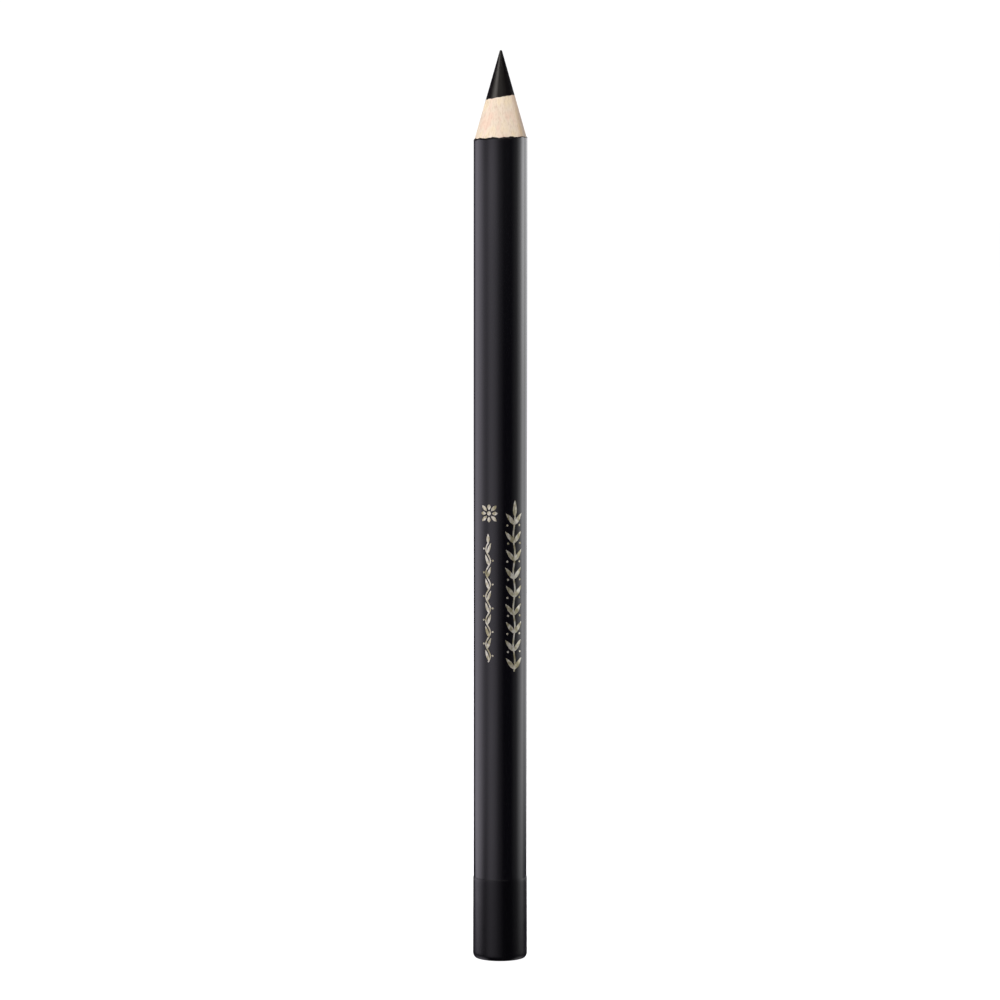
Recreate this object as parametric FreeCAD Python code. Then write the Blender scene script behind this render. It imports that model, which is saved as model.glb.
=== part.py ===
import FreeCAD, Part
import math
import os

# A round wooden cosmetic pencil, standing point up.
# Millimetres. The origin is the lowest point of the dipped end, +Z runs along the pencil to the
# point, +X is to the right as the pencil is looked at and -Y is towards the viewer.

# Whole pencil
overall_length = 132.9
barrel_diameter = 7.8
lacquer_thickness = 0.16

# Core, one rod through the whole casing, a little off the middle of the barrel
core_diameter = 4.17
core_offset = 0.06

# Sharpened point, cut a little off the middle the other way
cone_half_angle = 15.86
cone_offset = 0.04
tip_radius = 0.19

# Chatter of the sharpener blade: shallow flutes that run down the cut face to the nose
chatter_marks = 14
chatter_depth = 0.04
chatter_start = -143.0
chatter_swing = 85.0
samples_per_mark = 6

# Dipped end: a thicker coat that sagged a little before it dried
dip_length = 12.15
dip_wall_top = 0.05
dip_wall_bottom = 0.08
dip_rim_length = 0.12
dip_end_thickness = 0.17
end_crown = 0.15
end_corner_depth = 0.45
end_corner_height = 0.8
end_corner_fullness = 0.6
end_chamfer_share = 0.84
end_chamfer_rise = 0.58

# Named allowances of the cutting shapes, none of them a gap between pieces
cutter_overlap = 0.35
cutter_margin = 2.0
rim_sink = 0.01

# Sizes worked out from the ones above
barrel_radius = barrel_diameter / 2
casing_radius = barrel_radius - lacquer_thickness
core_radius = core_diameter / 2
half_angle = math.radians(cone_half_angle)
cone_slope = math.tan(half_angle)
apex_z = overall_length + tip_radius * (1 / math.sin(half_angle) - 1)
dip_radius = barrel_radius + dip_wall_bottom
dip_flat_radius = dip_radius - end_corner_depth
dip_corner_top = end_crown + end_corner_height
butt_z = end_crown + dip_end_thickness
chamfer_depth = end_chamfer_share * end_corner_depth
chamfer_height = end_chamfer_rise * end_corner_height


def point(r, z):
    """A point of a half section: r from the pencil's middle line, z up."""
    return FreeCAD.Vector(r, 0, z)


def line(a, b):
    return Part.LineSegment(a, b).toShape()


def arc(a, middle, b):
    return Part.Arc(a, middle, b).toShape()


def turned(edges):
    """Solid made by turning a closed half section about the middle line."""
    face = Part.Face(Part.Wire(edges))
    return face.revolve(FreeCAD.Vector(0, 0, 0), FreeCAD.Vector(0, 0, 1), 360)


def rod(radius, z_low, z_high, x=0.0):
    return Part.makeCylinder(radius, z_high - z_low, FreeCAD.Vector(x, 0, z_low))


def only_solid(shape):
    """The one solid that a cut must leave."""
    if len(shape.Solids) != 1:
        raise ValueError("expected one solid, found %d" % len(shape.Solids))
    return shape.Solids[0]


# The sharpening form: everything that the sharpener leaves standing.

def flute(angle):
    """How far the cut face stands out or in at this angle, at the barrel's radius.

    The marks are not evenly spaced: the phase leads and lags four times round, as a blade does
    when the pencil is turned by hand in short twists.
    """
    turn = angle - math.radians(chatter_start)
    phase = chatter_marks * turn - math.radians(chatter_swing) * (1 - math.cos(4 * turn))
    strength = 0.8 + 0.2 * math.cos(3 * turn)
    return 0.5 * chatter_depth * strength * math.cos(phase)


def fluted_ring(radius, z):
    """Closed smooth wire round the cone's own axis, fluted by the chatter."""
    count = chatter_marks * samples_per_mark
    start = math.radians(chatter_start)
    ring = []
    for k in range(count):
        angle = start + 2 * math.pi * k / count
        r = radius * (1 + flute(angle) / barrel_radius)
        ring.append(FreeCAD.Vector(cone_offset + r * math.cos(angle), r * math.sin(angle), z))
    curve = Part.BSplineCurve()
    curve.interpolate(ring, PeriodicFlag=True)
    return Part.Wire([curve.toShape()])


def round_ring(radius, z):
    """Plain circle that starts at the same angle as the fluted ring."""
    start = math.radians(chatter_start)
    circle = Part.Circle(FreeCAD.Vector(cone_offset, 0, z), FreeCAD.Vector(0, 0, 1), radius)
    circle.rotate(FreeCAD.Placement(FreeCAD.Vector(0, 0, 0),
                                    FreeCAD.Rotation(FreeCAD.Vector(0, 0, 1), math.degrees(start)),
                                    FreeCAD.Vector(cone_offset, 0, z)))
    return Part.Wire([circle.toShape()])


def sharpening_form():
    """Fluted cone with a worn round nose, wider than the barrel at its foot."""
    nose_z = overall_length - tip_radius
    nose_ring_radius = tip_radius * math.cos(half_angle)
    nose_ring_z = nose_z + tip_radius * math.sin(half_angle)
    foot_radius = barrel_radius + cutter_overlap
    foot_z = apex_z - foot_radius / cone_slope
    cone = Part.makeLoft([fluted_ring(foot_radius, foot_z),
                          round_ring(nose_ring_radius, nose_ring_z)], True, True)
    lean = (math.pi / 2 + half_angle) / 2
    shoulder = point(tip_radius * math.cos(lean), nose_z + tip_radius * math.sin(lean))
    nose = turned([line(point(0, nose_ring_z), point(nose_ring_radius, nose_ring_z)),
                   arc(point(nose_ring_radius, nose_ring_z), shoulder, point(0, overall_length)),
                   line(point(0, overall_length), point(0, nose_ring_z))])
    nose.translate(FreeCAD.Vector(cone_offset, 0, 0))
    return cone.fuse(nose), foot_z


def shavings():
    """All that the sharpener takes off, down to where its cone leaves the barrel."""
    form, foot_z = sharpening_form()
    block = rod(barrel_radius + cutter_margin, foot_z, overall_length + cutter_margin)
    return block.cut(form)


# The dipped end and the chamfered wooden end under it.

def dip_corner():
    """The dip's rounded lower corner, from its crowned end up to its wall."""
    tilt = 2 * end_crown / dip_flat_radius
    reach = end_corner_fullness * end_corner_depth
    rise = end_corner_fullness * end_corner_height
    curve = Part.BezierCurve()
    curve.setPoles([point(dip_flat_radius, end_crown),
                    point(dip_flat_radius + reach, end_crown + reach * tilt),
                    point(dip_radius, dip_corner_top - rise),
                    point(dip_radius, dip_corner_top)])
    return curve.toShape()


def butt_waste():
    """What is taken off the wooden end: it is cut square and its edge is broken by a chamfer."""
    foot = point(barrel_radius - chamfer_depth, butt_z)
    flare = 1 + cutter_overlap / chamfer_depth
    head = point(barrel_radius + cutter_overlap, butt_z + flare * chamfer_height)
    kept = turned([line(point(0, butt_z), foot),
                   line(foot, head),
                   line(head, point(0, head.z)),
                   line(point(0, head.z), point(0, butt_z))])
    return rod(barrel_radius + cutter_margin, -cutter_margin, head.z).cut(kept)


def dip_blank():
    """Outside of the dip: crowned end, full corner, sagging wall and a rounded upper rim."""
    crown_sphere = (dip_flat_radius ** 2 + end_crown ** 2) / (2 * end_crown)
    half_way = dip_flat_radius / 2
    crown_middle = point(half_way, crown_sphere - math.sqrt(crown_sphere ** 2 - half_way ** 2))
    wall_foot = point(dip_radius, dip_corner_top)
    wall_head = point(barrel_radius + dip_wall_top, dip_length - dip_rim_length)
    rim_middle = point(barrel_radius + 0.7 * dip_wall_top, dip_length - 0.4 * dip_rim_length)
    rim_end = point(barrel_radius - rim_sink, dip_length)
    return turned([arc(point(0, 0), crown_middle, point(dip_flat_radius, end_crown)),
                   dip_corner(),
                   line(wall_foot, wall_head),
                   arc(wall_head, rim_middle, rim_end),
                   line(rim_end, point(0, dip_length)),
                   line(point(0, dip_length), point(0, 0))])


def half_slat(side):
    """Blank of one casing half: a half round slat with the core's groove in its flat face."""
    z_low = -cutter_margin
    z_high = overall_length + cutter_margin
    width = 2 * (barrel_radius + cutter_margin)
    slat = rod(casing_radius, z_low, z_high)
    keep = Part.makeBox(width, width / 2, z_high - z_low,
                        FreeCAD.Vector(-width / 2, 0 if side > 0 else -width / 2, z_low))
    groove = rod(core_radius, z_low - 1, z_high + 1, -core_offset)
    return slat.common(keep).cut(groove)


long_low = -cutter_margin
long_high = overall_length + cutter_margin
taken_by_sharpener = shavings()
taken_by_grinder = butt_waste()


def finished(blank):
    """Every blank goes through the same grinder and the same sharpener."""
    return only_solid(blank.cut(taken_by_grinder).cut(taken_by_sharpener))


core = finished(rod(core_radius, long_low, long_high, -core_offset))
casing_front = finished(half_slat(-1))
casing_back = finished(half_slat(1))
lacquer_tube = rod(barrel_radius, long_low, long_high)
lacquer_tube = lacquer_tube.cut(rod(casing_radius, long_low - 1, long_high + 1))
lacquer_coat = finished(lacquer_tube)
ground_barrel = rod(barrel_radius, long_low, dip_length + cutter_margin).cut(taken_by_grinder)
end_dip = only_solid(dip_blank().cut(ground_barrel))

pieces = {
    "core": core,
    "casing_front": casing_front,
    "casing_back": casing_back,
    "lacquer_coat": lacquer_coat,
    "end_dip": end_dip,
}

os.makedirs("parts", exist_ok=True)
for name, shape in pieces.items():
    if not shape.isValid():
        raise ValueError(name + " is not a valid solid")
    shape.exportStep("parts/" + name + ".step")
    box = shape.BoundBox
    print("%-13s volume %9.3f mm3  z %8.4f to %8.4f  x %7.4f to %7.4f  faces %d"
          % (name, shape.Volume, box.ZMin, box.ZMax, box.XMin, box.XMax, len(shape.Faces)))
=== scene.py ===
# %% [markdown]
# A round wooden eyeliner pencil, standing point up in plain studio light.
# The imported solids already have the true sizes, so the lesson starts by loading them as a fixed
# frame. Nothing in that frame is moved: each dressed piece is built where its solid stands and
# then takes its place. The solids could be shaded as they are, but they lack the small things that
# the eye looks for, such as crumbs, a torn edge and a film of foil.

# %% Load the solids and read their boxes
import math

import bmesh
import bpy
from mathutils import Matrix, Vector
from mathutils.noise import noise


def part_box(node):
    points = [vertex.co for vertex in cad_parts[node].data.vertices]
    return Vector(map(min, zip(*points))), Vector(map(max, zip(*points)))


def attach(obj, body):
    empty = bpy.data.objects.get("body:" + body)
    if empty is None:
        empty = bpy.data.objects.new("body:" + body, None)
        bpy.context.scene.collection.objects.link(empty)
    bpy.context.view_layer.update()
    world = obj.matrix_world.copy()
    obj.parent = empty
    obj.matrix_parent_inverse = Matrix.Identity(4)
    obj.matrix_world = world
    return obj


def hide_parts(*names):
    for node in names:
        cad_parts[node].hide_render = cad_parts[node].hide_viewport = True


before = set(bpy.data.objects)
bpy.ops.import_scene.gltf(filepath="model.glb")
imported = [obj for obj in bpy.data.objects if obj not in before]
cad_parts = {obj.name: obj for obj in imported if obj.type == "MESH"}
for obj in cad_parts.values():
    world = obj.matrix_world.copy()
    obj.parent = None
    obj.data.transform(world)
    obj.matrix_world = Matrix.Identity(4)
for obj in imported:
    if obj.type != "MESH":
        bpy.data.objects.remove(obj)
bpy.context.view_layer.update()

MM = 0.001
print("solids:", sorted(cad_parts))


# %% [markdown]
# Every size comes from the frame where it can. A box gives the lowest and highest corner of a
# solid, which is enough for a turned thing: half its width is its radius and the middle of its
# width is its centre line. Typing the sizes in again would be quicker, but they would stay behind
# when the drawing changes.

# %% Read the sizes of the turned pieces
def radius_of(node):
    """Half the width of a turned solid, along Y where nothing is off centre."""
    low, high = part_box(node)
    return max(abs(low.y), abs(high.y))


barrel_radius = radius_of("lacquer_coat")
wood_radius = radius_of("casing_front")
core_radius = radius_of("core")
dip_radius = radius_of("end_dip")
core_x = (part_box("core")[0].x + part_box("core")[1].x) / 2
tip_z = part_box("core")[1].z
butt_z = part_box("core")[0].z
dip_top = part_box("end_dip")[1].z
print("barrel %.3f, wood %.3f, core %.3f mm radius" % tuple(
    r / MM for r in (barrel_radius, wood_radius, core_radius)))
print("length %.2f mm, dip %.2f mm, core off centre by %.3f mm" % (
    tip_z / MM, dip_top / MM, core_x / MM))


# %% [markdown]
# The point needs values that a box can't give, such as the angle of the sharpener's blade, and
# those are repeated here from the drawing of the part. The pencil sat a little to one side in the
# sharpener, so the cone has an axis of its own beside the barrel's. All the rest follows: the sides
# of the cone would meet in an apex, and the worn nose is a ball that touches them just below it.

# %% Place the sharpener's cone
half_angle = math.radians(15.86)
cone_x = 0.04 * MM
nose_radius = 0.19 * MM
cutter_overlap = 0.35 * MM

cone_slope = math.tan(half_angle)
apex_z = tip_z + nose_radius * (1 / math.sin(half_angle) - 1)
nose_z = tip_z - nose_radius
nose_ring = nose_radius * math.cos(half_angle)
nose_ring_z = nose_z + nose_radius * math.sin(half_angle)
foot_radius = barrel_radius + cutter_overlap
foot_z = apex_z - foot_radius / cone_slope
shoulder_z = apex_z - barrel_radius / cone_slope
print("the cone meets the barrel at %.2f mm" % (shoulder_z / MM))


# %% [markdown]
# The blade chatters while the pencil is turned by hand in short twists, and leaves shallow flutes
# that run down the slope. They make the line between wood and lacquer a scalloped one. Even flutes
# would be one cosine round the cone, and would look machined. So the twists push the cosine's phase
# to and fro, and a slow second wave makes some flutes deeper than others.

# %% The flutes that the blade left
flute_count = 14
flute_depth = 0.04 * MM
flute_start = math.radians(-143.0)
flute_swing = math.radians(85.0)
twists = 4
deeper_places = 3
deeper_by = 0.2


def flute(angle):
    """How far the cut face stands out or in, measured at the barrel's radius."""
    turn = angle - flute_start
    phase = flute_count * turn - flute_swing * (1 - math.cos(twists * turn))
    strength = (1 - deeper_by) + deeper_by * math.cos(deeper_places * turn)
    return 0.5 * flute_depth * strength * math.cos(phase)


print("%d flutes, up to %.3f mm deep" % (flute_count, flute_depth / MM))


# %% [markdown]
# A sharpener cuts wood, core and lacquer in one pass, so one surface runs through all of them.
# Cutting the pieces with a boolean would give it too, but it leaves long thin faces that shade
# badly. We write the surface as a height instead: for a place on the plan, seen down the pencil, it
# says how high the cut lies. Pieces that share this one function meet without a step, as they do on
# the real point.

# %% The sharpened surface as a height over the plan
def cut_height(x, y):
    """A round nose in the middle and the fluted slope round it."""
    reach = math.hypot(x - cone_x, y)
    if reach <= nose_ring:
        return nose_z + math.sqrt(nose_radius ** 2 - reach ** 2)
    foot = foot_radius * (1 + flute(math.atan2(y, x - cone_x)) / barrel_radius)
    share = (reach - nose_ring) / (foot - nose_ring)
    return nose_ring_z - share * (nose_ring_z - foot_z)


print("cut at the middle %.3f mm, at the wood's edge %.3f mm" % (
    cut_height(cone_x, 0) / MM, cut_height(wood_radius, 0) / MM))


# %% [markdown]
# At its other end the pencil was sawn square, and a small chamfer broke the edge before it was
# dipped. The dip hides this end, but core, wood and lacquer still need one, and a second height
# function serves all three. The chamfer is a share of the dip's rounded corner, which leaves paint
# of about the same thickness over both.

# %% The sawn end as a height over the plan
corner_depth, corner_height = 0.45 * MM, 0.8 * MM
chamfer_share, chamfer_rise = 0.84, 0.58
chamfer_depth = chamfer_share * corner_depth
chamfer_height = chamfer_rise * corner_height


def butt_height(x, y):
    """Height of the sawn end, which rises over the chamfer."""
    out = math.hypot(x, y) - (barrel_radius - chamfer_depth)
    return butt_z + max(0.0, out) * chamfer_height / chamfer_depth


print("sawn end at %.2f mm, its chamfer ends at %.2f mm" % (
    butt_height(0, 0) / MM, butt_height(barrel_radius, 0) / MM))


# %% [markdown]
# Core, slats, lacquer and dip are all sleeves: blocks that are bent round the pencil. Modifiers
# such as Screw and Solidify could make some of them, but the cut ends have to follow our height
# functions, so we place each point. A block has a grid of points, numbered across, round and along.
# Only its skin has faces: inner and outer wall, both ends, and the flats of one that isn't closed.

# %% The faces of a bent block
def spread(count, power=1.0):
    """Shares from 0 to 1; a power above 1 crowds them towards 0."""
    return [(k / count) ** power for k in range(count + 1)]


def skin(sides, across, around, along):
    """Each face of the named sides with its four places; a block has that many steps each way."""
    for j in range(around):
        for k in range(along):
            if "inner" in sides:
                yield "inner", [(0, j, k), (0, j, k + 1), (0, j + 1, k + 1), (0, j + 1, k)]
            if "outer" in sides:
                yield "outer", [(across, j, k), (across, j + 1, k),
                                (across, j + 1, k + 1), (across, j, k + 1)]
        for i in range(across):
            if "lower" in sides:
                yield "lower", [(i, j, 0), (i, j + 1, 0), (i + 1, j + 1, 0), (i + 1, j, 0)]
            if "upper" in sides:
                yield "upper", [(i, j, along), (i + 1, j, along),
                                (i + 1, j + 1, along), (i, j + 1, along)]
    if "flats" in sides:
        for i in range(across):
            for k in range(along):
                yield "flats", [(i, 0, k), (i + 1, 0, k), (i + 1, 0, k + 1), (i, 0, k + 1)]
                yield "flats", [(i, around, k), (i, around, k + 1),
                                (i + 1, around, k + 1), (i + 1, around, k)]


print("a tube of 1 by 4 by 2 steps has %d faces" % len(list(
    skin(("inner", "outer", "lower", "upper"), 1, 4, 2))))


# %% [markdown]
# A worked shape becomes a piece in the same way every time. Its faces are turned outwards and all
# of them are shaded smooth, and then edges that bend by more than a chosen angle are marked as
# sharp. Smooth shading alone would smear light over the edge of a cut, and flat shading would show
# the facets of every round wall.

# %% Turn a worked shape into a piece
def piece_of(shape, name, sharp_angle):
    """Object with the shape's mesh; edges that bend by more than sharp_angle stay sharp."""
    bmesh.ops.recalc_face_normals(shape, faces=shape.faces)
    for face in shape.faces:
        face.smooth = True
    mesh = bpy.data.meshes.new(name)
    shape.to_mesh(mesh)
    shape.free()
    mesh.set_sharp_from_angle(angle=math.radians(sharp_angle))
    piece = bpy.data.objects.new(name, mesh)
    bpy.context.scene.collection.objects.link(piece)
    return piece


turned_sharp_angle = 9
print("turned pieces stay sharp where they bend by more than %d degrees" % turned_sharp_angle)


# %% [markdown]
# Each piece now brings a small function that gives the place of a point from three shares: u
# across, v round and w along. Points are made only where a face needs them. Those that fall
# together, as in the middle of a closed end, are merged, and faces without area go. The cut end may
# have a finish of its own.

# %% A helper that builds a sleeve
merge_within = 2e-5 * MM
no_length = 1e-6 * MM


def sleeve(name, place, across, around, along, closed, sides, cut_slot=0):
    """Closed mesh of the block place(u, v, w); sides names the walls that it needs."""
    shape = bmesh.new()
    made = {}
    turns = len(around) - 1

    def vertex(i, j, k):
        key = (i, j % turns if closed else j, k)
        if key not in made:
            made[key] = shape.verts.new(place(across[key[0]], around[key[1]], along[key[2]]))
        return made[key]

    for side, corners in skin(sides, len(across) - 1, turns, len(along) - 1):
        face = shape.faces.new([vertex(*corner) for corner in corners])
        face.material_index = cut_slot if side == "upper" else 0
    bmesh.ops.remove_doubles(shape, verts=shape.verts, dist=merge_within)
    bmesh.ops.dissolve_degenerate(shape, edges=shape.edges, dist=no_length)
    return piece_of(shape, name, turned_sharp_angle)


print("points closer than %.0e mm are merged" % (merge_within / MM))


# %% [markdown]
# A dressed piece has to say three things: which finishes it wears, that it rides on the pencil,
# and which solid it stands for. The solids could be hidden by hand, but then nobody could tell
# which piece is which. One helper says all three.

# %% Seat a piece on the pencil
def seat(piece, node, slot, *finishes):
    """Give a piece its finishes, let it ride on the pencil and stand for its solid."""
    for finish in finishes:
        piece.data.materials.append(finish)
    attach(piece, "root")
    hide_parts(node)
    print("%-22s %6d faces" % (piece.name, len(piece.data.polygons)))


print("solids that need a dressed piece:", len(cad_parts))


# %% [markdown]
# Finishes are worked out from the place of each point on the piece, never from a picture, so they
# run through a solid as real wood and wax do. Short helpers keep the node trees readable: one
# starts a material, one adds a node and sets or links its inputs, and one joins two sockets.
# Whatever is the same all over is set on the shader itself.

# %% Start a finish and add nodes to it
def new_finish(name, **values):
    """A material and its main shader; values go on the shader's own sockets."""
    finish = bpy.data.materials.new(name)
    finish.use_nodes = True
    shader = finish.node_tree.nodes["Principled BSDF"]
    for socket, value in values.items():
        shader.inputs[socket.replace("_", " ")].default_value = value
    print("finish:", name)
    return finish, shader


def add(owner, kind, inputs=None, **settings):
    """New node in the tree of a finish, lamp or sky; an input may be a value or a socket."""
    node = owner.node_tree.nodes.new(kind)
    for setting, value in settings.items():
        setattr(node, setting, value)
    for socket, value in (inputs or {}).items():
        if isinstance(value, bpy.types.NodeSocket):
            owner.node_tree.links.new(value, node.inputs[socket])
        else:
            node.inputs[socket].default_value = value
    return node


def join(owner, source, target):
    owner.node_tree.links.new(source, target)


print("materials so far:", len(bpy.data.materials))


# %% [markdown]
# Nearly every mark on the pencil starts as noise. Its grains are round by themselves, but where the
# place on the piece is stretched first, they turn into fibres. A colour ramp then gives them tones.
# We count grains to a millimetre, which can be held against the real thing.

# %% Noise over the piece and a ramp of tones
def place_on_piece(finish, steps, turn=0.0):
    """Place on the piece, with that many steps to a millimetre along X, Y and Z."""
    where = add(finish, "ShaderNodeTexCoord")
    stretched = add(finish, "ShaderNodeMapping", {
        "Vector": where.outputs["Object"], "Rotation": (0, 0, -turn),
        "Scale": [step / MM for step in steps]})
    return stretched.outputs["Vector"]


def speckle(finish, grains, detail, roughness=0.5):
    """Noise from 0 to 1; grains to a millimetre along X, Y and Z."""
    spots = add(finish, "ShaderNodeTexNoise", {
        "Vector": place_on_piece(finish, grains), "Scale": 1.0, "Detail": detail,
        "Roughness": roughness})
    return spots.outputs["Fac"]


def ramp(owner, source, stops):
    """Tone that follows the source through (place, colour) stops."""
    node = add(owner, "ShaderNodeValToRGB", {"Fac": source})
    band = node.color_ramp
    while len(band.elements) < len(stops):
        band.elements.new(0.5)
    for element, (place, colour) in zip(band.elements, stops):
        element.position = place
        element.color = (*colour, 1.0)
    return node.outputs["Color"]


finest = 9.0
print("the finest grains, %.0f to a millimetre, are %.2f mm wide" % (finest, 1 / finest))


# %% [markdown]
# Two more things set a finish apart: uneven gloss, and relief too fine to model. For the first,
# noise moves the roughness between two values. For the second, a bump node tilts the light as if
# the surface had the height that we give it in metres.

# %% Uneven gloss and fine relief
noise_low, noise_high = 0.3, 0.7


def uneven_gloss(finish, shader, source, smoothest, roughest):
    """Roughness that wanders with the noise from smoothest to roughest."""
    rough = add(finish, "ShaderNodeMapRange", {
        "Value": source, "From Min": noise_low, "From Max": noise_high,
        "To Min": smoothest, "To Max": roughest})
    join(finish, rough.outputs["Result"], shader.inputs["Roughness"])


def relief(finish, shader, source, height):
    """Relief of that real height, as the source goes from 0 to 1."""
    bump = add(finish, "ShaderNodeBump", {"Height": source, "Distance": height, "Strength": 1.0})
    join(finish, bump.outputs["Normal"], shader.inputs["Normal"])


print("noise is read from %.1f to %.1f, where nearly all of it lies" % (noise_low, noise_high))


# %% [markdown]
# The core is a rod of black wax. Sharpened, it is almost matt with a slight drag of the blade: fine
# lines across the slope and small pits where wax crumbled. They could be modelled, but they are
# finer than a hundredth of a millimetre and show only in the highlight. So a nearly black shader of
# middling roughness gives the soft shine, and two noises break it up.

# %% The core's finish
core_finish, shader = new_finish(
    "core wax", Base_Color=(0.0022, 0.0014, 0.0009, 1), Roughness=0.32, Specular_IOR_Level=0.58,
    Specular_Tint=(1.0, 0.96, 0.91, 1))
drag = speckle(core_finish, (2.5, 2.5, 14.0), 3.0)
pits = speckle(core_finish, (6.0, 6.0, 6.0), 4.0, 0.7)
uneven_gloss(core_finish, shader, pits, 0.28, 0.37)
drag_and_pits = add(core_finish, "ShaderNodeMath", {0: drag, 1: pits}, operation="ADD")
relief(core_finish, shader, drag_and_pits.outputs["Value"], 0.006 * MM)


# %% [markdown]
# The core runs through the whole pencil and is seen at the point, from its worn nose down to the
# wood. A cylinder and a cone put together would show a seam, so it is one sleeve without a hole,
# whose inner line is the axis. Rings crowd towards the middle, where the nose is small and round,
# and shift from the cone's axis to the core's own on the way out. Crumbs of wax roughen the cut
# and fade out towards the nose.

# %% The core's shape
crumb_depth = 0.006 * MM
crumb_size = 0.16 * MM
crumb_growth = 3
round_steps = 224


def core_place(u, v, w):
    """u from the middle outwards, v round, w from the sawn end up to the cut."""
    angle = 2 * math.pi * v
    centre = cone_x + u * (core_x - cone_x)
    x = centre + u * core_radius * math.cos(angle)
    y = u * core_radius * math.sin(angle)
    low, high = butt_height(x, y), cut_height(x, y)
    crumb = crumb_depth * noise(Vector((x, y, 0.5 * high)) / crumb_size)
    crumb *= min(1.0, crumb_growth * u)
    return x, y, low + w * (high + crumb - low)


core = sleeve("core_rod", core_place, across=spread(56, power=1.5), around=spread(round_steps),
              along=spread(4), closed=True, sides=("outer", "lower", "upper"))
seat(core, "core", "core_wax", core_finish)


# %% [markdown]
# The casing is two slats of pale soft wood. Its grain runs along the pencil, so growth rings are
# tones across the plank with the faintest drift along it, and on the cut cone they become streaks
# that run down the slope. A picture of wood wrapped round the cone couldn't do that.

# %% Growth rings across the plank
plank_half = 4.0
ring_sway = 0.7


def growth_rings(finish, grain_angle, rings):
    """Tone of the rings, square to grain_angle; rings are (millimetres across, tone) pairs."""
    turned = place_on_piece(finish, (1, 1, 1), grain_angle)
    plank = add(finish, "ShaderNodeSeparateXYZ", {"Vector": turned})
    drift = speckle(finish, (0.7, 0.7, 0.06), 3.0)
    swayed = add(finish, "ShaderNodeMath", {0: drift, 1: ring_sway, 2: plank.outputs["X"]},
                 operation="MULTIPLY_ADD")
    share = add(finish, "ShaderNodeMapRange", {
        "Value": swayed.outputs["Value"],
        "From Min": ring_sway / 2 - plank_half, "From Max": ring_sway / 2 + plank_half})
    stops = [((mm + plank_half) / (2 * plank_half), tone) for mm, tone in rings]
    return ramp(finish, share.outputs["Result"], stops)


print("rings lie within %.0f mm of the middle and sway by %.1f mm" % (plank_half, ring_sway))


# %% [markdown]
# Two thin veils lie over the rings: long fine fibres, and a blush of pink and cream in broader
# patches. Painting them into the rings would tie them to the same lines. Multiplied over, each
# keeps its own grain, and where a veil is white the wood shows as it is. The fibres also give the
# cut its relief.

# %% The wood's finish
fibre_grains = (5.2, 5.2, 0.13)


def wood_finish(name, grain_angle, rings):
    """Growth rings under a veil of fibres and a veil of blush."""
    finish, shader = new_finish(name, Roughness=0.62, Specular_IOR_Level=0.3)
    colour = growth_rings(finish, grain_angle, rings)
    fibres = speckle(finish, fibre_grains, 4.0, 0.65)
    streak = ramp(finish, fibres, [
        (0.3, (0.84, 0.79, 0.73)), (0.5, (1.0, 1.0, 1.0)), (0.75, (1.05, 1.055, 1.06))])
    blush = ramp(finish, speckle(finish, (0.62, 0.62, 0.26), 2.0), [
        (0.36, (1.03, 1.01, 0.90)), (0.5, (1.0, 1.0, 1.0)), (0.64, (1.01, 0.90, 0.88))])
    for veil in (streak, blush):
        mixed = add(finish, "ShaderNodeMix", {"Factor": 1.0},
                    data_type="RGBA", blend_type="MULTIPLY")
        join(finish, colour, mixed.inputs["A"])
        join(finish, veil, mixed.inputs["B"])
        colour = mixed.outputs["Result"]
    join(finish, colour, shader.inputs["Base Color"])
    relief(finish, shader, fibres, 0.012 * MM)
    return finish


print("fibres are %.0f times as long as wide" % (fibre_grains[0] / fibre_grains[2]))


# %% [markdown]
# Early wood grows fast and is pale, late wood grows slowly and is darker and denser. A slat holds
# only a few rings. The front one is pale and darkens at one side, through a late ring to a still
# darker tone. That side is the right flank of the cone as the camera sees it, and the darkening is
# painted shade there, partly dressed as late wood. The back one was turned another way in the
# plank, so its few thin lines lie at another angle.

# %% The wood of the two slats
early, middling = (0.81, 0.685, 0.545), (0.77, 0.635, 0.495)
# The darkest tone is no wood of its own: it is painted shade.
late, painted_shade_tone = (0.62, 0.485, 0.36), (0.45, 0.37, 0.30)
# On the front slat the late ring at 1.0 mm and the darkest tone at 1.9 mm are painted shade on the
# cone's right flank.
front_wood = wood_finish("front slat wood", math.radians(36), [
    (-4.0, early), (-2.1, early), (-1.8, middling), (-1.7, early), (0.2, early), (0.55, middling),
    (1.0, late), (1.9, painted_shade_tone)])
back_wood = wood_finish("back slat wood", math.radians(-30), [
    (-4.0, early), (-2.6, middling), (-2.4, early), (-0.9, early), (-0.5, late), (-0.3, early),
    (1.4, middling), (1.6, early)])
print("wood tones from (%.2f, %.2f, %.2f) to (%.2f, %.2f, %.2f)" % (*early, *painted_shade_tone))


# %% [markdown]
# Lacquer soaks a little into the wood, so the line between them isn't a perfect circle: it wanders
# by about a hundredth of a millimetre, and by more where it ran into an open pore. A noisy colour
# edge could fake that on one smooth mesh, but here wood and lacquer are separate pieces. They share
# this wandering line, which keeps them tight against each other all round.

# %% The line where lacquer meets wood
slow_wander, quick_wander = 0.010 * MM, 0.016 * MM
pores = ((-70, 8, 0.020 * MM), (-106, 5, 0.012 * MM), (35, 7, 0.020 * MM), (140, 6, 0.018 * MM))


def round_noise(angle, fineness, layer=0.0):
    """Noise that closes on itself round the pencil; another layer gives another pattern."""
    return noise(fineness * Vector((math.cos(angle), math.sin(angle), layer)))


def soak_line(angle):
    """Radius where wood meets lacquer; angle runs from +X towards +Y."""
    wander = slow_wander * round_noise(angle, 4.2) + quick_wander * round_noise(angle, 12.0)
    for pore_angle, width, depth in pores:
        off = (math.degrees(angle) - pore_angle + 180) % 360 - 180
        wander -= depth * math.exp(-(off / width) ** 2)
    return wood_radius + wander


lap = [soak_line(math.radians(degree)) for degree in range(360)]
print("lacquer meets wood at %.3f to %.3f mm" % (min(lap) / MM, max(lap) / MM))


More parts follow.
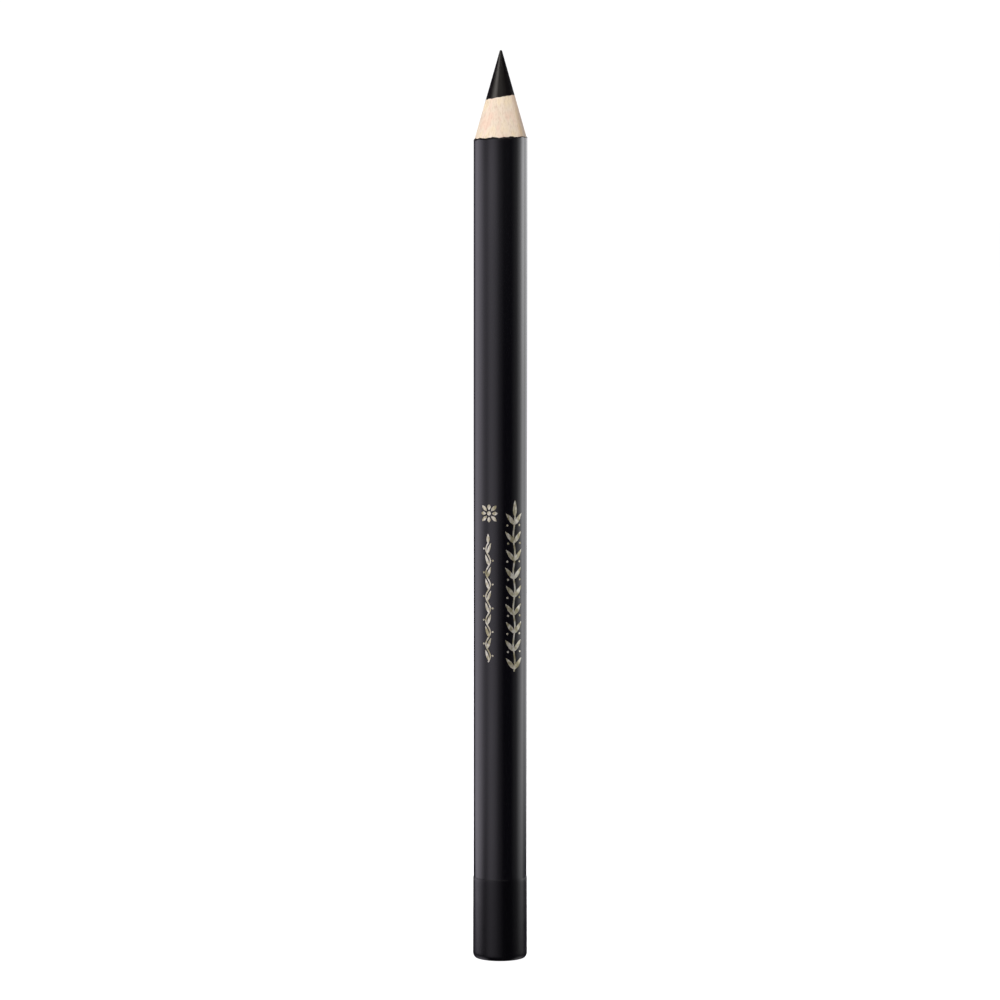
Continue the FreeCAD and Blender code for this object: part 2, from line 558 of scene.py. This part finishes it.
# %% [markdown]
# Each slat is half a rod with half the core's groove in its flat face, glued to the other one. It
# is a sleeve that stops half way round, so the same helper makes it, with two flats where the glue
# is. Its inner line follows the core, which lies a little off the middle, and its outer line
# follows the lacquer.

# %% The two slats
half_lap_steps = 160


def slat_place(start):
    """Place function of a slat whose half turn begins at the angle start."""
    def place(u, v, w):
        """u from the groove outwards, v half way round, w along the slat."""
        angle = start + math.pi * v
        inner = (core_x + core_radius * math.cos(angle), core_radius * math.sin(angle))
        outer = (soak_line(angle) * math.cos(angle), soak_line(angle) * math.sin(angle))
        x = inner[0] + u * (outer[0] - inner[0])
        y = inner[1] + u * (outer[1] - inner[1])
        low, high = butt_height(x, y), cut_height(x, y)
        return x, y, low + w * (high - low)
    return place


def slat(name, start):
    return sleeve(name, slat_place(start), across=spread(24), around=spread(half_lap_steps),
                  along=spread(6), closed=False,
                  sides=("inner", "outer", "lower", "upper", "flats"))


seat(slat("casing_front_slat", math.pi), "casing_front", "casing_wood", front_wood)
seat(slat("casing_back_slat", 0.0), "casing_back", "casing_wood", back_wood)


# %% [markdown]
# The barrel is sprayed with black lacquer. Its gloss lives in its reflections: almost no colour of
# its own, a low roughness, a breath of haze that makes the gloss uneven, and a very fine orange
# peel. Any more relief would break up the long reflections that make it look like lacquer.

# %% The lacquer's finish
lacquer_finish, shader = new_finish(
    "black lacquer", Base_Color=(0.0008, 0.0007, 0.0011, 1), Roughness=0.16, IOR=1.5)
peel = speckle(lacquer_finish, (0.9, 0.9, 0.26), 2.0)
haze = speckle(lacquer_finish, (0.5, 0.5, 0.06), 3.0)
uneven_gloss(lacquer_finish, shader, haze, 0.14, 0.19)
relief(lacquer_finish, shader, peel, 0.0010 * MM)


# %% [markdown]
# Where the sharpener cut the lacquer, the blade tore it instead of polishing it. That edge is dull
# and gritty, and a finish of its own keeps the barrel's shine off it.

# %% The finish of the torn edge
torn_finish, shader = new_finish(
    "torn lacquer edge", Base_Color=(0.0025, 0.0016, 0.0012, 1), Roughness=0.45,
    Specular_IOR_Level=0.16)
grit = speckle(torn_finish, (finest, finest, finest), 3.0, 0.7)
relief(torn_finish, shader, grit, 0.006 * MM)


# %% [markdown]
# The lacquer is a thin tube between the soak line and the barrel's wall, with the same steps round
# as the two slats. Lacquer is harder than wood and stands a hair proud of the cone, so its cut face
# is steeper than the slope and its dark edge looks thinner than it is. We add that lip to the cut
# height. It grows from the wood outwards, its top is ragged, and it stands highest on one side.

# %% The lacquer's shape
lip_height = 0.33 * MM
lip_ragged = 0.35
lip_raised = 0.45


def lip(angle):
    """Height of the lip at the barrel's wall; angle 0 is the side where it stands highest."""
    ragged = 1 + lip_ragged * round_noise(angle, 7.0, 0.7)
    raised = 1 + lip_raised * max(0.0, math.cos(angle)) ** 2
    return lip_height * ragged * raised


def lacquer_place(u, v, w):
    """u through the thickness, v round, w from the chamfered foot up to the cut."""
    angle = math.pi + 2 * math.pi * v
    reach = soak_line(angle) + u * (barrel_radius - soak_line(angle))
    x, y = reach * math.cos(angle), reach * math.sin(angle)
    low, high = butt_height(x, y), cut_height(x, y)
    return x, y, low + w * (high + u * lip(angle) - low)


lacquer = sleeve("lacquer_skin", lacquer_place, across=spread(6),
                 around=spread(2 * half_lap_steps), along=spread(24), closed=True,
                 sides=("inner", "outer", "lower", "upper"), cut_slot=1)
seat(lacquer, "lacquer_coat", "black_lacquer", lacquer_finish, torn_finish)


# %% [markdown]
# The lower end is dipped in paint and hung up to dry. Paint draws back from an edge, so the coat
# has a full rounded corner where it goes from the crowned end to the wall. A bevel would make a
# round one of the same bend all along. A cubic curve with four poles can be fuller: it leaves the
# crown and meets the wall in their own directions.

# %% The dip's corner
end_crown = 0.15 * MM
corner_fullness = 0.6
end_flat = dip_radius - corner_depth
corner_top = end_crown + corner_height


def corner_curve(t):
    """(radius, height) on the corner, from the crowned end at t = 0 to the wall at t = 1."""
    tilt = 2 * end_crown / end_flat
    reach, rise = corner_fullness * corner_depth, corner_fullness * corner_height
    poles = [(end_flat, end_crown), (end_flat + reach, end_crown + reach * tilt),
             (dip_radius, corner_top - rise), (dip_radius, corner_top)]
    weights = ((1 - t) ** 3, 3 * t * (1 - t) ** 2, 3 * t * t * (1 - t), t ** 3)
    return tuple(sum(k * p[axis] for k, p in zip(weights, poles)) for axis in (0, 1))


print("half way round the corner: radius %.3f, height %.3f mm" % tuple(
    c / MM for c in corner_curve(0.5)))


# %% [markdown]
# The whole coat is one half section that is turned round the pencil. Its outer line runs over the
# crowned end, round the corner, up a wall that thins towards the top because wet paint sags, and
# over a rounded rim. Its inner line follows the sawn end, its chamfer and the barrel, so that the
# coat sits on them without a gap. We walk along both at once, pair by pair.

# %% The dip's half section
dip_wall_top = 0.05 * MM
rim_length = 0.12 * MM
end_steps, corner_steps, wall_steps, rim_steps = 14, 16, 30, 6


def dip_section():
    """Pairs of inner and outer (radius, height) from the middle of the end up to the rim."""
    chamfer_in, chamfer_top = barrel_radius - chamfer_depth, butt_z + chamfer_height
    wall_top = dip_top - rim_length
    pairs = []
    for t in spread(end_steps):
        pairs.append(((t * chamfer_in, butt_z), (t * end_flat, end_crown * t * t)))
    for t in spread(corner_steps)[1:]:
        inner = (chamfer_in + t * chamfer_depth, butt_z + t * chamfer_height)
        pairs.append((inner, corner_curve(t)))
    for t in spread(wall_steps)[1:]:
        outer = (dip_radius + t * (barrel_radius + dip_wall_top - dip_radius),
                 corner_top + t * (wall_top - corner_top))
        pairs.append(((barrel_radius, chamfer_top + t * (wall_top - chamfer_top)), outer))
    for t in spread(rim_steps)[1:]:
        turn = t * math.pi / 2
        outer = (barrel_radius + dip_wall_top * math.cos(turn),
                 wall_top + rim_length * math.sin(turn))
        pairs.append(((barrel_radius, wall_top + t * rim_length), outer))
    return pairs


section = dip_section()
print("half section of the dip: %d pairs of points" % len(section))


# %% [markdown]
# The dip looks deeper than the barrel, because its coat is thicker and a little duller: its
# reflections are about half as strong. A darker colour wouldn't show, as both are almost black
# already, but a lower specular level on the shader says just that. A slow swell of the wet paint
# bends the reflections slightly.

# %% The dip's finish
dip_finish, shader = new_finish(
    "dipped black", Base_Color=(0.0008, 0.0007, 0.0010, 1), Roughness=0.21, IOR=1.5,
    Specular_IOR_Level=0.31)
swell = speckle(dip_finish, (0.42, 0.42, 0.3), 2.0)
haze = speckle(dip_finish, (0.7, 0.7, 0.5), 3.0)
uneven_gloss(dip_finish, shader, haze, 0.185, 0.235)
relief(dip_finish, shader, swell, 0.0025 * MM)


# %% [markdown]
# Turned round the pencil, the half section is the dipped end. The edge of a dipped coat is never
# quite level, so it wanders by some hundredths of a millimetre. The wall below shares in that,
# fading downwards, and so does its inner line, which keeps the coat as thick as it was.

# %% The dip's shape
rim_wander = 0.03 * MM
wander_from = 0.7 * dip_top


def dip_place(u, v, w):
    """u through the coat, v round, w counts along the half section."""
    angle = 2 * math.pi * v
    inner, outer = section[round(w * (len(section) - 1))]
    reach = inner[0] + u * (outer[0] - inner[0])
    height = inner[1] + u * (outer[1] - inner[1])
    climb = max(0.0, (height - wander_from) / (dip_top - wander_from))
    height += climb * rim_wander * round_noise(angle, 1.7, 0.4)
    return reach * math.cos(angle), reach * math.sin(angle), height


dip = sleeve("dipped_end", dip_place, across=spread(1), around=spread(round_steps),
             along=spread(len(section) - 1), closed=True, sides=("inner", "outer"))
seat(dip, "end_dip", "dip_paint", dip_finish)


# %% [markdown]
# Two columns of gold foil run up the barrel. Hot foil is a film that a die presses onto the
# lacquer, so each mark is a thin raised patch with a crisp edge. The marks are a plain running
# ornament: a leafy sprig, a vine and a small rosette. We draw them flat, as on paper, because
# lengths and angles are easy there. Every mark is a leaf, a disc or a strip, made of patches small
# enough to bend round the barrel later. The leaf comes first.

# %% A leaf, drawn flat
leaf_roundness = 0.9
leaf_steps = 12


def on_paper(start, heading, along, across):
    """A place on the paper, seen from start and looking along heading."""
    ahead = Vector((math.sin(heading), math.cos(heading)))
    aside = Vector((ahead.y, -ahead.x))
    return Vector(start) + along * ahead + across * aside


def patches_between(rows):
    """Two patches between each row of three points and the next; points that meet count once."""
    patches = []
    for low, high in zip(rows[:-1], rows[1:]):
        for side in (0, 1):
            corners = [low[side], low[side + 1], high[side + 1], high[side]]
            patches.append([c for k, c in enumerate(corners) if c != corners[k - 1]])
    return patches


def leaf(start, heading, length, width, fullest=0.42):
    """Pointed leaf; fullest says how far along it is widest."""
    power = math.log(0.5) / math.log(fullest)
    rows = []
    for t in spread(leaf_steps):
        swelling = math.sin(math.pi * t ** power) ** leaf_roundness if 0 < t < 1 else 0.0
        half = width / 2 * swelling
        rows.append([on_paper(start, heading, t * length, side * half) for side in (-1, 0, 1)])
    return patches_between(rows)


print("a leaf has %d patches" % len(leaf((0.0, 0.0), 0.0, 2 * MM, 1 * MM)))


# %% [markdown]
# Berries and the heart of the rosette are discs. A fan of triangles would meet in one crowded
# point, so a disc has a small many-sided middle with three rings of patches round it.

# %% A disc, drawn flat
disc_rings = (0.1, 0.4, 0.75, 1.0)


def disc(centre, radius, turns=20):
    """Round mark: a small middle and three rings round it."""
    def corner(share, k):
        return on_paper(centre, 2 * math.pi * k / turns, share * radius, 0.0)

    patches = [[corner(disc_rings[0], k) for k in range(turns)]]
    for inner, outer in zip(disc_rings[:-1], disc_rings[1:]):
        for k in range(turns):
            patches.append([corner(inner, k), corner(outer, k),
                            corner(outer, k + 1), corner(inner, k + 1)])
    return patches


print("a disc has %d patches" % len(disc((0.0, 0.0), 1 * MM)))


# %% [markdown]
# Stems are strips of even width that follow a line of points. At each point the strip looks from
# the one before to the one after, so its sides stay square to the line in every bend.

# %% A strip, drawn flat
def strip(line_points, width):
    """Strip of even width along a line of points that never turns sharply."""
    rows = []
    for k, here in enumerate(line_points):
        before = line_points[max(k - 1, 0)]
        after = line_points[min(k + 1, len(line_points) - 1)]
        way = Vector((after[0] - before[0], after[1] - before[1])).normalized()
        side = Vector((way.y, -way.x)) * width / 2
        rows.append([Vector(here) - side, Vector(here), Vector(here) + side])
    return patches_between(rows)


print("a strip of three points has %d patches" % len(
    strip([(0.0, k * MM) for k in range(3)], 1 * MM)))


# %% [markdown]
# Wrapping is a sum: the distance across the paper, divided by the radius, is an angle. Foil that
# was only a colour of the lacquer would be flat to the light. So each mark is laid on the barrel as
# a sheet, lifted by the film's thickness, and gets walls down into the lacquer and a back: a closed
# solid that catches light on its edge.
#
# Blender can extrude a rim by itself, but it makes the walls in an order that changes from run to
# run. Made by hand, edge by edge, they come in the same order every time. A wall runs along its
# edge the other way than the sheet does, so that both face outwards.

# %% Wrap a mark round the barrel and close it
foil_lift = 0.012 * MM
foil_root = 0.006 * MM
nanometre_places = 9


def wrapped(point, lift, turn, height):
    """Place on the barrel of a point of the paper, whose middle is at turn and height."""
    angle = turn + point.x / barrel_radius
    reach = barrel_radius + lift
    return reach * math.sin(angle), -reach * math.cos(angle), height + point.y


def lay_sheet(shape, mark, lift, turn, height):
    """Faces of one mark on the barrel; patches share the corners where they meet."""
    corners, faces = {}, []
    for patch in mark:
        ring = []
        for p in patch:
            key = (round(p.x, nanometre_places), round(p.y, nanometre_places))
            if key not in corners:
                corners[key] = shape.verts.new(wrapped(p, lift, turn, height))
            ring.append(corners[key])
        faces.append(shape.faces.new(ring))
    return faces


def close_sheet(shape, faces, lift):
    """Walls from the sheet's rim down into the lacquer, and a back between them."""
    shrink = (barrel_radius - foil_root) / (barrel_radius + lift)
    rim = dict.fromkeys(e for face in faces for e in face.edges if e.is_boundary)
    below = {}
    for top in dict.fromkeys(v for edge in rim for v in edge.verts):
        below[top] = shape.verts.new((top.co.x * shrink, top.co.y * shrink, top.co.z))
    foot = []
    for edge in rim:
        end = edge.link_loops[0].vert
        start = edge.other_vert(end)
        shape.faces.new([start, end, below[end], below[start]])
        foot.append(shape.edges.get([below[start], below[end]]))
    bmesh.ops.holes_fill(shape, edges=foot, sides=0)


print("film stands %.3f mm out of the lacquer" % (foil_lift / MM))


# %% [markdown]
# A column is one piece of film with many marks. Marks that cross are one sheet on the real pencil,
# but joining their outlines would be fussy, and nobody would see it. Instead they take turns in
# three layers, a hair apart, so that two faces never fight for the same place.

# %% A helper that prints a column of foil
foil_layer = 0.0004 * MM
foil_layers = 3
foil_sharp_angle = 30


def foil(name, marks, turn, height, finish):
    """One piece of film with all the marks of a column."""
    shape = bmesh.new()
    for count, mark in enumerate(marks):
        lift = foil_lift + foil_layer * (count % foil_layers)
        close_sheet(shape, lay_sheet(shape, mark, lift, turn, height), lift)
    piece = piece_of(shape, name, foil_sharp_angle)
    piece.data.materials.append(finish)
    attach(piece, "root")
    print("%-22s %6d faces, %d marks" % (name, len(piece.data.polygons), len(marks)))


print("foil has %d layers, %.4f mm apart" % (foil_layers, foil_layer / MM))


# %% [markdown]
# Foil is a metal, but a pressed film is never a mirror: the lacquer's peel shows through it and its
# gold is worn in patches. Three tones of pale gold and a middling roughness give that. It isn't
# quite all metal, so that it keeps some colour where it mirrors the dark between the lights.

# %% The foil's finish
foil_finish, shader = new_finish(
    "gold foil", Base_Color=(0.66, 0.62, 0.47, 1), Metallic=0.86, Roughness=0.5)
crease = speckle(foil_finish, (3.0, 3.0, 3.0), 3.0)
worn_patches = speckle(foil_finish, (1.9, 1.9, 1.3), 2.0)
gold = ramp(foil_finish, worn_patches, [
    (0.38, (0.44, 0.40, 0.24)), (0.5, (0.66, 0.62, 0.47)), (0.62, (0.84, 0.81, 0.70))])
join(foil_finish, gold, shader.inputs["Base Color"])
uneven_gloss(foil_finish, shader, crease, 0.45, 0.6)
relief(foil_finish, shader, crease, 0.003 * MM)


# %% [markdown]
# The wide column is a sprig: leaves in pairs on a gently waving stem, with berries between them and
# one leaf at the top. Heights are counted in pitches, the height of one pair, so the column fills
# its height with any number of pairs.

# %% The sprig in the wide column
wide_turn = math.radians(31)
wide_low, wide_high = 42.8 * MM, 67.6 * MM
stem_width = 0.24 * MM
foot_share = 0.12


def sprig():
    """Leaves in pairs on a gently waving stem, with berries between them."""
    pairs, sway, lean = 9, 0.14 * MM, math.radians(38)
    pitch = (wide_high - wide_low) / (pairs + 0.4)
    leaf_length, leaf_width = 0.82 * pitch, 0.62 * MM
    berry_out, berry_up, berry_radius = 1.02 * MM, 0.98 * pitch, 0.16 * MM
    top_length, top_width, top_root = 0.95 * pitch, 0.66 * MM, 0.1 * pitch
    stem_top = wide_high - 0.75 * pitch

    def stem(z):
        return sway * math.sin(math.pi * (z - wide_low) / pitch), z

    line = [stem(wide_low + t * (stem_top - wide_low)) for t in spread(10 * pairs)]
    marks = [strip(line, stem_width)]
    for k in range(pairs):
        foot = stem(wide_low + (k + foot_share) * pitch)
        for side in (-1, 1):
            marks.append(leaf(foot, side * lean, leaf_length, leaf_width))
            if k < pairs - 1:
                berry = (foot[0] + side * berry_out, foot[1] + berry_up)
                marks.append(disc(berry, berry_radius))
    marks.append(leaf(stem(stem_top - top_root), 0.0, top_length, top_width))
    return marks


foil("foil_sprig", sprig(), wide_turn, 0.0, foil_finish)


# %% [markdown]
# The narrow column is a vine. Its stem swings from side to side, with one leaf and one berry in
# each bend, on opposite sides. One loop that changes sides draws them all.

# %% The vine in the narrow column
narrow_turn = math.radians(-27)
narrow_low, narrow_high = 44.2 * MM, 62.6 * MM


def vine():
    """A waving stem with one leaf and one berry in each bend."""
    bends, sway, lean = 10, 0.36 * MM, math.radians(20)
    pitch = (narrow_high - narrow_low) / (bends + 0.6)
    leaf_length, leaf_width = 0.98 * pitch, 0.42 * MM
    berry_out, berry_up, berry_radius = 0.72 * MM, 0.42 * pitch, 0.14 * MM
    top_length, top_width, stem_end = 0.8 * pitch, 0.5 * MM, bends + 0.05

    def stem(t):
        return sway * math.sin(math.pi * t), narrow_low + t * pitch

    marks = [strip([stem(t * stem_end) for t in spread(14 * bends)], 0.8 * stem_width)]
    for k in range(bends):
        side = 1 if k % 2 else -1
        foot = stem(k + foot_share)
        marks.append(leaf(foot, side * lean, leaf_length, leaf_width))
        marks.append(disc((-side * berry_out, foot[1] + berry_up), berry_radius, turns=12))
    marks.append(leaf(stem(bends), 0.0, top_length, top_width))
    return marks


foil("foil_vine", vine(), narrow_turn, 0.0, foil_finish)


# %% [markdown]
# A small rosette closes the narrow column: petals that are leaves, set round a disc, every other
# one longer.

# %% The rosette above the vine
rosette_turn = math.radians(-25)
rosette_z = 65.9 * MM


def rosette():
    """Petals round a disc, every other one longer."""
    petals, petal_width, petal_foot = 8, 0.52 * MM, 0.46 * MM
    long_petal, short_petal, heart_radius = 1.15 * MM, 0.85 * MM, 0.3 * MM
    centre = (0.0, 0.0)
    marks = [disc(centre, heart_radius)]
    for k in range(petals):
        heading = 2 * math.pi * k / petals
        length = long_petal if k % 2 else short_petal
        foot = on_paper(centre, heading, petal_foot, 0.0)
        marks.append(leaf(foot, heading, length, petal_width, fullest=0.55))
    return marks


foil("foil_rosette", rosette(), rosette_turn, rosette_z, foil_finish)


# %% [markdown]
# Black lacquer shows the room rather than itself, so the light is built as a room: tall panels
# stand round the pencil where the barrel should show a pale band, and between them it stays dark.
# Glowing boards would do, but area lamps give less noise and stay out of the picture. A lamp's
# power is its brightness times its area times pi, which lets us think in brightness.

# %% Lamps that face the pencil
def way_out(azimuth, elevation=0.0):
    """Direction from the pencil; azimuth 0 is towards the viewer and grows to the right."""
    turn, rise = math.radians(azimuth), math.radians(elevation)
    level = math.cos(rise)
    return Vector((math.sin(turn) * level, -math.cos(turn) * level, math.sin(rise)))


def area_lamp(name, out, distance, height, width, tall, brightness, colour):
    """Area lamp that stands out from the pencil and faces it."""
    light = bpy.data.lights.new(name, "AREA")
    light.shape = "RECTANGLE"
    light.size, light.size_y = width, tall
    light.energy = brightness * math.pi * width * tall
    light.color = colour
    lamp = bpy.data.objects.new(name, light)
    lamp.location = out * distance + Vector((0, 0, height))
    lamp.rotation_euler = out.to_track_quat("Z", "Y").to_euler()
    lamp.visible_camera = False
    bpy.context.scene.collection.objects.link(lamp)
    return light


print("a lamp at 90 degrees stands along", [round(c, 3) for c in way_out(90)])


# %% [markdown]
# A real softbox is brightest in its middle and fades to its sides, and that fade makes the bands on
# the barrel soft. A lamp is even by itself, so its own nodes work the fade out from the place on
# the panel: a squared sine from side to side, and a ramp from bottom to top. The ramp works because
# a low place on the barrel shows a low place of the panel, so each panel can be brighter just where
# the photograph is.

# %% Tall panels that fade to their sides
panel_distance = 0.5


def fade_panel(light, glow, brightest):
    """Brightness falls to nothing at both sides and follows glow from bottom to top."""
    low, high = glow[0][0], glow[-1][0]
    light.use_nodes = True
    where = add(light, "ShaderNodeNewGeometry")
    split = add(light, "ShaderNodeSeparateXYZ", {"Vector": where.outputs["Parametric"]})
    half_turn = add(light, "ShaderNodeMath", {0: split.outputs["X"], 1: math.pi},
                    operation="MULTIPLY")
    wave = add(light, "ShaderNodeMath", {0: half_turn.outputs["Value"]}, operation="SINE")
    strength = ramp(light, split.outputs["Y"], [
        ((height - low) / (high - low), [brightness / brightest] * 3)
        for height, brightness in glow])
    for _ in range(2):
        product = add(light, "ShaderNodeMath", {0: strength, 1: wave.outputs["Value"]},
                      operation="MULTIPLY")
        strength = product.outputs["Value"]
    join(light, strength, light.node_tree.nodes["Emission"].inputs["Strength"])


def panel(name, azimuth, band, colour, glow):
    """Soft panel whose pale band is half as bright at a quarter of band to either side.

    Glow lists heights in millimetres, from low to high, with the brightness at each.
    """
    width = 4 * panel_distance * math.tan(math.radians(band) / 4)
    glow = [(height * MM, brightness) for height, brightness in glow]
    low, high = glow[0][0], glow[-1][0]
    brightest = max(brightness for height, brightness in glow)
    light = area_lamp(name, way_out(azimuth), panel_distance, (low + high) / 2, width,
                      high - low, brightest, colour)
    fade_panel(light, glow, brightest)
    print("%-18s %5.0f deg, brightness up to %.2f" % (name, azimuth, brightest))


print("panels stand %.1f m from the pencil" % panel_distance)


# %% [markdown]
# The left side of the barrel shows a wide cool band, a dimmer one further in and a faint one nearly
# head on. A panel behind gives the back a band of its own. All end just above the barrel, so that
# the cone of the point, which faces further up, doesn't mirror them.

# %% Panels at the left and behind
cool = (0.99, 0.935, 1.065)
plain = (0.995, 0.995, 1.01)
panel("left band", azimuth=-104, band=118, colour=cool, glow=(
    (-106, 0.0), (-94, 0.25), (-80, 2.5), (-65, 2.0), (-30, 1.8), (80, 1.65), (135, 2.0),
    (155, 0.0)))
panel("left front", azimuth=-40, band=88, colour=cool, glow=(
    (-250, 0.35), (-90, 0.6), (-76, 1.1), (-60, 1.2), (80, 1.0), (135, 1.65), (155, 0.0)))
panel("left inner", azimuth=-7, band=52, colour=cool, glow=(
    (-250, 0.24), (80, 0.24), (135, 0.3), (155, 0.0)))
panel("behind", azimuth=138, band=108, colour=plain, glow=(
    (-78, 0.0), (-28, 1.1), (83, 1.7), (135, 2.3), (155, 0.0)))


# %% [markdown]
# The right side shows a pale band with a narrow bright line in it, and a faint one further in. One
# panel with both in its nodes would be harder to adjust than two that stand nearly in one place.

# %% Panels at the right
panel("right band", azimuth=100, band=62, colour=plain, glow=(
    (-104, 0.0), (-90, 0.15), (-74, 1.4), (-28, 1.6), (60, 1.1), (130, 2.3), (155, 0.0)))
panel("right line", azimuth=112, band=42, colour=plain, glow=(
    (-90, 0.0), (-73, 0.3), (-28, 1.0), (50, 1.2), (83, 2.0), (130, 3.0), (155, 0.0)))
panel("right front", azimuth=77, band=70, colour=plain, glow=(
    (-140, 0.0), (-90, 0.15), (-75, 0.3), (90, 0.3), (135, 0.5), (155, 0.0)))


# %% [markdown]
# A very faint panel softens the top, and two low ones at the sides show only to a lens that looks
# steeply down. Without those, the barrel would be a black bar from above.

# %% Panels above and below
low_glow = ((-1100, 0.0), (-700, 1.5), (-300, 1.0), (-150, 0.0))
panel("upper front", azimuth=10, band=150, colour=plain, glow=(
    (70, 0.0), (130, 0.13), (155, 0.0)))
panel("lower left", azimuth=-104, band=110, colour=cool, glow=low_glow)
panel("lower right", azimuth=106, band=90, colour=plain, glow=low_glow)


# %% [markdown]
# Wood, core and foil want light from above. Three square lamps give it: a key from the upper left
# that models the cone, one almost overhead and one behind. They are small and high, so the upright
# barrel mirrors them towards the floor and keeps its quiet bands.

# %% High lights for wood, core and foil
middle_z = tip_z / 2
warm = (1.0, 0.985, 0.96)


def high_light(name, azimuth, elevation, distance, size, brightness):
    """Square lamp above the pencil that looks at its middle."""
    area_lamp(name, way_out(azimuth, elevation), distance, middle_z, size, size, brightness, warm)
    print("%-18s %5.0f deg, %2.0f up, brightness %.1f" % (name, azimuth, elevation, brightness))


high_light("key", azimuth=-57, elevation=37, distance=0.8, size=0.48, brightness=2.7)
high_light("top light", azimuth=5, elevation=68, distance=0.8, size=0.6, brightness=2.5)
high_light("back light", azimuth=170, elevation=45, distance=0.9, size=0.5, brightness=2.0)


# %% [markdown]
# The photograph has a plain white ground with no shadow. The floor is a large pale sheet that glows
# a little by itself, so that it comes out white with hardly a shadow. A brighter key would do that
# too, but would bleach the wood. The floor is left out of mirror reflections, which keeps the
# barrel black.

# %% The floor
floor_half = 40.0
floor_mesh = bpy.data.meshes.new("floor")
floor_mesh.from_pydata([(-floor_half, -floor_half, 0), (floor_half, -floor_half, 0),
                        (floor_half, floor_half, 0), (-floor_half, floor_half, 0)],
                       [], [(0, 1, 2, 3)])
floor = bpy.data.objects.new("floor", floor_mesh)
bpy.context.scene.collection.objects.link(floor)
paper, shader = new_finish(
    "white sheet", Base_Color=(0.85, 0.85, 0.85, 1), Roughness=1.0, Specular_IOR_Level=0.0,
    Emission_Color=(1, 1, 1, 1), Emission_Strength=1.0)
floor_mesh.materials.append(paper)
floor.visible_glossy = False
print("floor %.0f m wide" % (2 * floor_half))


# %% [markdown]
# The sky has to be white behind the pencil but nearly dark in its reflections, where it fills the
# gaps between the panels. One world can be both: a switch asks whether a ray comes from the lens
# and picks the white or the dim one. The standard view keeps white as white.

# %% The sky
world = bpy.data.worlds.new("studio")
bpy.context.scene.world = world
world.use_nodes = True
world.node_tree.nodes.clear()
path = add(world, "ShaderNodeLightPath")
dim_room = add(world, "ShaderNodeBackground", {"Color": (0.040, 0.037, 0.056, 1)})
white_ground = add(world, "ShaderNodeBackground", {"Color": (1, 1, 1, 1), "Strength": 1.05})
choose = add(world, "ShaderNodeMixShader", {
    "Fac": path.outputs["Is Camera Ray"], 1: dim_room.outputs["Background"],
    2: white_ground.outputs["Background"]})
add(world, "ShaderNodeOutputWorld", {"Surface": choose.outputs["Shader"]})
bpy.context.scene.view_settings.view_transform = "Standard"
print("sky of %d nodes" % len(world.node_tree.nodes))


# %% [markdown]
# The photograph was taken with a long lens from a little above: the rim of the dip curves down by
# nearly five pixels while the line at the point is straight. That puts the lens about 110 mm up and
# 560 mm away. Its length could be found by trying, but it follows from the barrel's width in the
# picture: a thing's width in pixels is the lens in pixels times its real width over its distance.

# %% The camera
picture_width = 1000
barrel_pixels = 53.52
barrel_measured_at = 80 * MM
camera_distance = 560 * MM
camera_height = 110 * MM
aim_height = 67.59 * MM
aside = -0.045 * MM
lean = math.radians(0.04)

slant = math.atan2(camera_height - aim_height, camera_distance)
depth = (camera_distance * math.cos(slant)
         + (camera_height - barrel_measured_at) * math.sin(slant))
focal_pixels = barrel_pixels * depth / (2 * barrel_radius)
camera_data = bpy.data.cameras.new("camera")
camera_data.sensor_fit = "HORIZONTAL"
camera_data.sensor_width = 36.0
camera_data.lens = focal_pixels * camera_data.sensor_width / picture_width
camera_data.clip_start, camera_data.clip_end = 0.05, 50.0
camera = bpy.data.objects.new("camera", camera_data)
camera.location = (aside, -camera_distance, camera_height)
gaze = Vector((aside, 0, aim_height)) - camera.location
camera.rotation_euler = gaze.to_track_quat("-Z", "Y").to_euler()
camera.rotation_euler.rotate_axis("Z", lean)
bpy.context.scene.collection.objects.link(camera)
bpy.context.scene.camera = camera
print("lens %.1f mm, looking down %.2f degrees" % (camera_data.lens, math.degrees(slant)))
